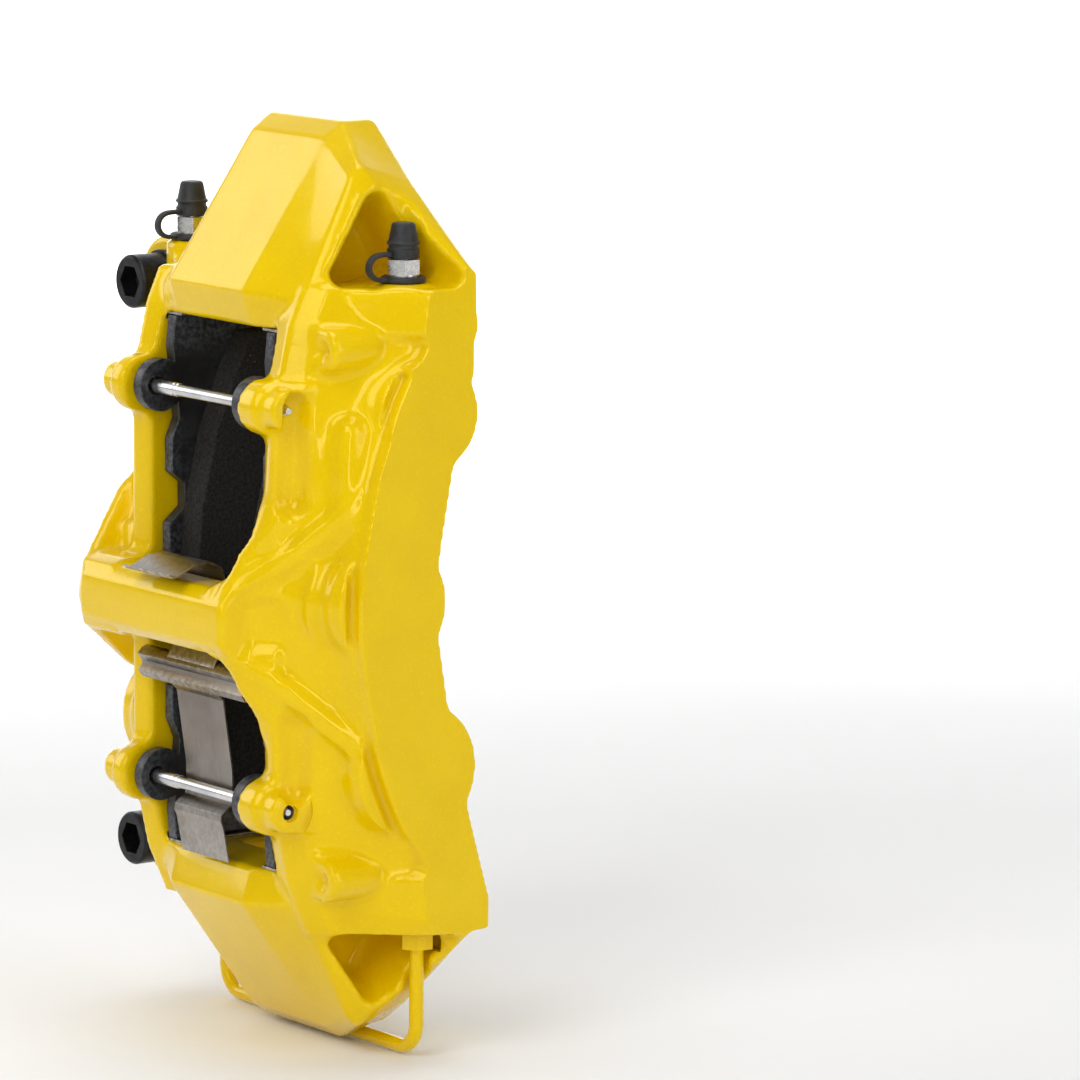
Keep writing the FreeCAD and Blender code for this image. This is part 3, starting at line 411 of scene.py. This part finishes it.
def add_relief(grid):
    """Blend the relief into the distance field, whose surface stands SOFTEN inside the final one."""
    low = np.floor(np.array(spot(*RELIEF_LOW)) / MM / VOXEL).astype(int)
    high = np.ceil(np.array(spot(*RELIEF_HIGH)) / MM / VOXEL).astype(int)
    field = np.zeros(high - low, np.float32)
    corner = tuple(int(v) for v in low)
    grid.copyToArray(field, ijk=corner)
    field -= SOFTEN
    steps = [np.arange(a, b) * VOXEL for a, b in zip(low, high)]
    where = np.stack(np.meshgrid(*steps, indexing="ij"), -1)
    for sign, radius, blend, path in RELIEF:
        shape = strand_distance(where, [np.array(spot(*p)) / MM for p in path]) - radius
        first, second = field * sign, shape
        overlap = np.maximum(blend - np.abs(first - second), 0) / blend
        field = sign * (np.minimum(first, second) - overlap ** 2 * blend / 4).astype(np.float32)
    grid.copyFromArray(field + np.float32(SOFTEN), ijk=corner)


def cast_surface():
    """Fillets in the corners, rounded outer edges, and the small cast details blended on."""
    mesh = NODES["caliper_body"].data
    mesh.calc_loop_triangles()
    points = np.zeros(len(mesh.vertices) * 3, np.float32)
    mesh.vertices.foreach_get("co", points)
    triangles = np.zeros(len(mesh.loop_triangles) * 3, np.int32)
    mesh.loop_triangles.foreach_get("vertices", triangles)
    points = points.reshape(-1, 3) / MM
    triangles = triangles.reshape(-1, 3).astype(np.uint32)
    points, quads = offset_surface(closed_grid(points, triangles, FILLET), FILLET)
    points, quads = offset_surface(closed_grid(points, quads, FILLET + SOFTEN), -FILLET - SOFTEN)
    grid = closed_grid(points, quads, SOFTEN + 3)
    add_relief(grid)
    points, quads = offset_surface(grid, SOFTEN)
    return points * MM, quads[:, ::-1]


def casting_mesh(points, quads):
    """The mesh of the cast surface, before machining."""
    mesh = bpy.data.meshes.new("casting_rough")
    mesh.vertices.add(len(points))
    mesh.vertices.foreach_set("co", points.astype(np.float32).ravel())
    mesh.loops.add(quads.size)
    mesh.loops.foreach_set("vertex_index", quads.astype(np.int32).ravel())
    mesh.polygons.add(len(quads))
    mesh.polygons.foreach_set("loop_start", np.arange(0, quads.size, 4, dtype=np.int32))
    mesh.update(calc_edges=True)
    mesh.validate()
    return mesh


def cutter_rod(bm, centre, axis, low, high, radius, segments=96):
    """Add a cylinder to the cutters; centre is any point on its axis, low and high are levels on it."""
    index = "XYZ".index(axis)
    middle = Vector(centre)
    middle[index] = (low + high) / 2
    along = Vector([float(i == index) for i in range(3)])
    turn = Vector((0, 0, 1)).rotation_difference(along).to_matrix().to_4x4()
    bmesh.ops.create_cone(bm, cap_ends=True, segments=segments, radius1=radius, radius2=radius,
                          depth=high - low, matrix=Matrix.Translation(middle) @ turn)


def cutter_box(bm, low, high):
    """Add a box to the cutters, from one corner to the opposite one."""
    size = Vector(high) - Vector(low)
    middle = (Vector(high) + Vector(low)) / 2
    bmesh.ops.create_cube(bm, size=1.0, matrix=Matrix.Translation(middle) @ Matrix.Diagonal((*size, 1)))


def middle_of(node):
    """Middle of a CAD node's box."""
    low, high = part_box(node)
    return (low + high) / 2


# Radii, depths and levels of the machining, in millimetres.
SLACK = 0.05
BORE_MOUTH, BORE_END = 32.0, 62.0
BLEED_RADIUS, BLEED_DEPTH, SEAT_RADIUS, SEAT_CLEAR = 4.05, 12, 8.2, 6
PIPE_RADIUS, PIPE_TOP, PIPE_SEAT, PIPE_CLEAR = 5.05, -101.5, -109.7, -116
PLATE_GAP, PLATE_REACH = 0.1, 3
BOLT_RADIUS, SPOTFACE_RADIUS = 6.5, 10.5
LUG_OUTER, LUG_INNER, BOLT_CLEAR = -144, -114, -180
PIN_RADIUS, PIN_MOUTH_RADIUS, PIN_MOUTH_DEPTH = 2.45, 2.95, 0.4
PIN_OUTBOARD, PIN_INBOARD = -56, 66
PIN_PAD_RADIUS, PIN_PAD_STEP, PIN_PAD_CLEAR = 8.5, 1.15, -58
INLET_X, INLET_Z, INLET_RADIUS, INLET_END, INLET_CLEAR = -136.5, 30, 4.5, 60, 82
ROUND = 64


def cut_cylinder(tag, sign, holes, seats):
    """One bore with its two seal grooves, sized from the piston and the seals."""
    low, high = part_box(tag + "piston")
    centre = middle_of(tag + "piston")
    near, far = sorted((spot(0, sign * BORE_MOUTH, 0).y, spot(0, sign * BORE_END, 0).y))
    cutter_rod(holes, centre, "Y", near, far, (high.x - low.x) / 2 + SLACK * MM)
    for seal in ("pressure_seal", "dust_seal"):
        low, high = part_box(tag + seal)
        cutter_rod(seats, centre, "Y", low.y - SLACK * MM, high.y + SLACK * MM,
                   (high.x - low.x) / 2 + SLACK * MM)


def cut_fluid_fittings(side, holes, seats):
    """The bleed screw's hole and seat, and the pipe's hole and seat."""
    screw = middle_of(side + "_bleed_screw")
    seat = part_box(side + "_cap_tether")[0].z - 0.1 * MM
    cutter_rod(holes, screw, "Z", seat - BLEED_DEPTH * MM, seat + 1 * MM, BLEED_RADIUS * MM, ROUND)
    cutter_rod(seats, screw, "Z", seat, seat + SEAT_CLEAR * MM, SEAT_RADIUS * MM)
    pipe = middle_of(side + "_tube_nut")
    cutter_rod(holes, pipe, "Z", spot(0, 0, PIPE_SEAT - 1).z, spot(0, 0, PIPE_TOP).z, PIPE_RADIUS * MM,
               ROUND)
    cutter_rod(seats, pipe, "Z", spot(0, 0, PIPE_CLEAR).z, spot(0, 0, PIPE_SEAT).z, SEAT_RADIUS * MM)


def cut_plate_seats(side, plates):
    """The steps that the abutment plates lie on, open towards the pad."""
    gap = Vector((PLATE_GAP, PLATE_GAP, 0.0)) * MM
    reach = Vector((0, 0, PLATE_REACH * MM))
    for end, up in ENDS.items():
        low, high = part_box("%s_%s_abutment_plate" % (side, end))
        if up > 0:
            cutter_box(plates, low - gap - reach, high + gap)
        else:
            cutter_box(plates, low - gap, high + gap + reach)


def cut_bolt_and_pin(end, holes, seats):
    """One lug's bolt hole with its spotface, and one pad pin's bores."""
    low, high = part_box(end + "_mounting_bolt")
    bolt = (low + high) / 2
    washer_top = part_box(end + "_mounting_washer")[1].x
    cutter_rod(holes, bolt, "X", spot(LUG_OUTER, 0, 0).x, spot(LUG_INNER, 0, 0).x, BOLT_RADIUS * MM)
    cutter_rod(seats, bolt, "X", spot(BOLT_CLEAR, 0, 0).x, washer_top, SPOTFACE_RADIUS * MM)
    pin = middle_of(end + "_pad_pin")
    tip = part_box(end + "_pad_pin")[0].y
    outboard, inboard = spot(0, PIN_OUTBOARD, 0).y, spot(0, PIN_INBOARD, 0).y
    cutter_rod(holes, pin, "Y", outboard, inboard, PIN_RADIUS * MM, ROUND)
    cutter_rod(seats, pin, "Y", outboard, tip + PIN_MOUTH_DEPTH * MM, PIN_MOUTH_RADIUS * MM, ROUND)


def machining():
    """Every machined cut, in sets whose members don't touch, measured from the parts that fit them."""
    holes, seats, plates = bmesh.new(), bmesh.new(), bmesh.new()
    for side, sign in SIDES.items():
        for name in CYLINDERS:
            cut_cylinder("%s_%s_" % (side, name), sign, holes, seats)
        cut_fluid_fittings(side, holes, seats)
        cut_plate_seats(side, plates)
    for end in ENDS:
        cut_bolt_and_pin(end, holes, seats)
    cutter_rod(holes, spot(INLET_X, 0, INLET_Z), "Y", spot(0, INLET_END, 0).y,
               spot(0, INLET_CLEAR, 0).y, INLET_RADIUS * MM, ROUND)
    return holes, seats, plates


def facing():
    """Flats that are machined before painting: the wheel-side face and the pads round the pins."""
    bm = bmesh.new()
    cutter_box(bm, spot(-BEYOND, FACE - 10.6, -BEYOND), spot(FACE_INNER, FACE, BEYOND))
    for end in ENDS:
        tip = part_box(end + "_pad_pin")[0].y
        cutter_rod(bm, middle_of(end + "_pad_pin"), "Y", spot(0, PIN_PAD_CLEAR, 0).y,
                   tip - PIN_PAD_STEP * MM, PIN_PAD_RADIUS * MM)
    return bm


def cut(piece, bm, name, material):
    """Take one set of cutters out of the piece."""
    bmesh.ops.recalc_face_normals(bm, faces=bm.faces)
    mesh = mesh_of(name, bm)
    mesh.materials.append(material)
    tool = link(name, mesh)
    modifier = piece.modifiers.new(name, "BOOLEAN")
    modifier.object = tool
    modifier.operation = "DIFFERENCE"
    modifier.solver = "MANIFOLD"
    modifier.material_mode = "TRANSFER"
    return tool


def flatten_face(mesh):
    """Shade the machined wheel-side face flat, up to a crisp edge."""
    level = spot(0, FACE, 0).y
    for polygon in mesh.polygons:
        if polygon.normal.y < -0.9999 and abs(polygon.center.y - level) < 0.01 * MM:
            polygon.use_smooth = False


def make_casting():
    """The cast surface, thinned and machined, standing for the CAD casting."""
    points, quads = cast_surface()
    mesh = casting_mesh(points, quads)
    paint = FINISHES["painted_casting"]
    mesh.materials.append(paint)
    piece = link("casting", mesh)
    thin = piece.modifiers.new("thin", "DECIMATE")
    thin.ratio = min(1.0, TRIANGLES / (2 * len(quads)))
    holes, seats, plates = machining()
    tools = [cut(piece, facing(), "facing", paint), cut(piece, holes, "holes", BARE),
             cut(piece, seats, "seats", paint), cut(piece, plates, "plate_seats", BARE)]
    final = bpy.data.meshes.new_from_object(piece.evaluated_get(bpy.context.evaluated_depsgraph_get()))
    for tool in tools:
        bpy.data.objects.remove(tool)
    piece.modifiers.clear()
    piece.data = final
    final.name = "casting"
    smooth_by_angle(final, 32)
    flatten_face(final)
    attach(piece, "caliper")
    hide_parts("caliper_body")
    return piece


# ---------------------------------------------------------------------------------------------
# The other pieces


def finish_node(node):
    """Keep a CAD node's own shape and give it its finish."""
    mesh = NODES[node].data
    mesh.materials.clear()
    mesh.materials.append(FINISHES[SLOT_OF[node]])


# The tether in millimetres from the bleed screw's axis and seat: the ring's profile, and the middle
# line and half widths of its strap.
RING = [(5.35, 0.15), (5.35, 1.2), (5.6, 1.9), (6.1, 2.25), (6.7, 2.2), (7.3, 1.75), (7.6, 1.1),
        (7.5, 0.4), (7.2, 0.1), (5.8, 0.1)]
RING_TURNS = 72
STRAP = [(-6.6, 1.1), (-8.6, 1.1), (-10.8, 1.4), (-12.6, 2.5), (-13.7, 4.2), (-13.7, 6.2), (-12.8, 7.9),
         (-11.2, 9.0), (-9.0, 9.4), (-7.0, 9.4), (-5.0, 9.4)]
STRAP_WIDTHS = [2.2, 2.0, 1.75, 1.6, 1.55, 1.5, 1.5, 1.55, 1.75, 2.1, 2.3]
STRAP_THICKNESS = 0.8
STRAP_CORNERS = 16


def squared(ratio):
    """A round section's share pushed towards a rectangle's."""
    return math.copysign(abs(ratio) ** 0.7, ratio)


def add_ring(bm, centre, foot):
    """The tether's ring, turned about the bleed screw."""
    middle = Vector((centre.x, centre.y, foot))
    rows = []
    for step in range(RING_TURNS):
        angle = 2 * math.pi * step / RING_TURNS
        outward = Vector((math.cos(angle), math.sin(angle), 0))
        rows.append([bm.verts.new(middle + outward * r * MM + Vector((0, 0, z * MM))) for r, z in RING])
    for step in range(RING_TURNS):
        here, there = rows[step], rows[(step + 1) % RING_TURNS]
        for index in range(len(RING)):
            after = (index + 1) % len(RING)
            bm.faces.new((here[index], there[index], there[after], here[after]))


def strap_loop(bm, centre, foot, index):
    """One rounded cross-section of the strap, square to its middle line."""
    before, after = STRAP[max(index - 1, 0)], STRAP[min(index + 1, len(STRAP) - 1)]
    run = Vector((after[0] - before[0], after[1] - before[1])).normalized()
    across = Vector((-run.y, run.x))
    x, z = STRAP[index]
    loop = []
    for corner in range(STRAP_CORNERS):
        angle = 2 * math.pi * corner / STRAP_CORNERS
        wide = STRAP_WIDTHS[index] * squared(math.cos(angle))
        thick = STRAP_THICKNESS * squared(math.sin(angle))
        loop.append(bm.verts.new((centre.x + (x + across.x * thick) * MM, centre.y + wide * MM,
                                  foot + (z + across.y * thick) * MM)))
    return loop


def add_strap(bm, centre, foot):
    """The strap that loops up from the ring to the cap."""
    loops = [strap_loop(bm, centre, foot, index) for index in range(len(STRAP))]
    for here, there in zip(loops, loops[1:]):
        for index in range(STRAP_CORNERS):
            after = (index + 1) % STRAP_CORNERS
            bm.faces.new((here[index], here[after], there[after], there[index]))
    bm.faces.new(loops[0][::-1])
    bm.faces.new(loops[-1])


def make_tether(side):
    """Rubber ring round the bleed screw and a soft strap that loops up to the cap."""
    node = side + "_cap_tether"
    centre = middle_of(side + "_bleed_screw")
    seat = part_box(node)[0].z
    foot = seat - 0.1 * MM
    bm = bmesh.new()
    add_ring(bm, centre, foot)
    add_strap(bm, centre, foot)
    bmesh.ops.recalc_face_normals(bm, faces=bm.faces)
    mesh = mesh_of(node + "_strap", bm)
    smooth_by_angle(mesh, 50)
    piece = new_piece(node + "_strap", mesh, None, "cap_rubber", (node,))
    subdivided = piece.modifiers.new("rounder", "SUBSURF")
    subdivided.levels = subdivided.render_levels = 1
    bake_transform(piece)


def make_details():
    """Every visible piece other than the casting, with its edge radius."""
    for side in SIDES:
        make_tether(side)
        refined(side + "_bleed_cap", 0.25 * MM)
        refined(side + "_bleed_screw", 0.15 * MM)
        refined(side + "_tube_nut", 0.25 * MM)
        refined(side + "_backing_plate", 0.5 * MM)
        refined(side + "_friction_lining", 0.7 * MM, 3)
        refined(side + "_shim", 0.08 * MM, 1)
    for end in ENDS:
        refined(end + "_pad_pin", 0.12 * MM)
        refined(end + "_mounting_bolt", 0.3 * MM)
        refined(end + "_mounting_washer", 0.2 * MM)
    refined("anti_rattle_spring", 0.12 * MM)
    refined("crossover_tube", 0.1 * MM, 1)
    for node in NODES:
        if not NODES[node].hide_render:
            finish_node(node)


# ---------------------------------------------------------------------------------------------
# Floor, light and camera


# The backdrop stands behind the object as the camera sees it.
AWAY = Vector((0.6, 0.8, 0.0))
SIDEWAYS = Vector((0.8, -0.6, 0.0))
FLOOR_GAP = 0.6
FLOOR_HALF_WIDTH = 5
# Metres away from the object and height above the floor.
SWEEP = [(-2.6, 0), (1.6, 0), (2.4, 0.08), (2.9, 0.45), (3.1, 1.2), (3.15, 3.5)]


def make_floor():
    """Pale sweep: a floor that curves up far behind the object."""
    level = CAD_LOW.z - FLOOR_GAP * MM
    bm = bmesh.new()
    rows = []
    for distance, height in SWEEP:
        rows.append([bm.verts.new(AWAY * distance + SIDEWAYS * width + Vector((0, 0, level + height)))
                     for width in (-FLOOR_HALF_WIDTH, FLOOR_HALF_WIDTH)])
    for here, there in zip(rows, rows[1:]):
        bm.faces.new((here[0], here[1], there[1], there[0]))
    mesh = mesh_of("floor", bm)
    smooth_by_angle(mesh, 60)
    f = Finish("floor_pale", Specular_IOR_Level=0.1)
    shade = f.mixed(f.spread(f.noise(3, 2), 0.3, 0.7), (0.88, 0.88, 0.88), (0.92, 0.92, 0.92))
    mesh.materials.append(f.paint(shade, f.spread(f.noise(40), 0.3, 0.7, 0.8, 0.9)))
    link("floor", mesh)


def make_light(name, place, target, power, width, height):
    """One area light, its size in metres, facing a point."""
    light = bpy.data.lights.new(name, "AREA")
    light.energy = power
    light.shape = "RECTANGLE"
    light.size = width
    light.size_y = height
    lamp = link(name, light)
    lamp.location = place
    lamp.rotation_mode = "QUATERNION"
    lamp.rotation_quaternion = (Vector(place) - Vector(target)).to_track_quat("Z", "Y")


# Name, place from the object's middle in metres, power in watts, width and height in metres.
LIGHTS = [
    ("key", (-1.5, -0.7, 1.2), 17, 1.0, 1.7),
    ("strip", (-0.95, -1.35, 0.15), 4.5, 0.22, 1.6),
    ("front", (0.6, -1.9, 0.6), 9, 0.9, 1.6),
    ("top", (0.1, 0.1, 1.8), 13, 1.2, 1.2),
    ("back", (-0.9, 1.5, 0.7), 7, 1.0, 1.0),
]
BACKDROP_LIGHT = (75, 2.5, 1.0)
WORLD_STRENGTH = 0.26


def make_lights():
    """Soft boxes round the object, a strip for the long highlights, a light on the backdrop."""
    target = (CAD_LOW + CAD_HIGH) / 2
    for name, offset, *settings in LIGHTS:
        make_light(name, target + Vector(offset), target, *settings)
    make_light("backdrop", AWAY * 1.5 + Vector((0, 0, 1.6)), AWAY * 3.1 + Vector((0, 0, 0.5)),
               *BACKDROP_LIGHT)
    world = bpy.data.worlds.new("studio")
    world.use_nodes = True
    background = world.node_tree.nodes["Background"]
    background.inputs["Color"].default_value = (1, 1, 1, 1)
    background.inputs["Strength"].default_value = WORLD_STRENGTH
    bpy.context.scene.world = world


CAMERA_PLACE = (-1.1792, -1.7217, 0.3342)
CAMERA_TURN = (-37.28, 8.99, 0.43)
CAMERA_LENS = 206.33


def make_camera():
    """Camera aimed by azimuth, elevation and roll in degrees."""
    azimuth, elevation, roll = (math.radians(a) for a in CAMERA_TURN)
    back = Vector((math.sin(azimuth) * math.cos(elevation), -math.cos(azimuth) * math.cos(elevation),
                   math.sin(elevation)))
    right = (-back).cross(Vector((0, 0, 1))).normalized()
    up = back.cross(right)
    tilted = right * math.cos(roll) + up * math.sin(roll)
    camera = link("camera", bpy.data.cameras.new("camera"))
    pose = Matrix((tilted, back.cross(tilted), back)).transposed().to_4x4()
    pose.translation = CAMERA_PLACE
    camera.matrix_world = pose
    camera.data.sensor_width = 36.0
    camera.data.lens = CAMERA_LENS
    camera.data.clip_end = 100
    bpy.context.scene.camera = camera
    bpy.context.scene.view_settings.view_transform = "Standard"


make_camera()
make_lights()
make_floor()
make_casting()
make_details()
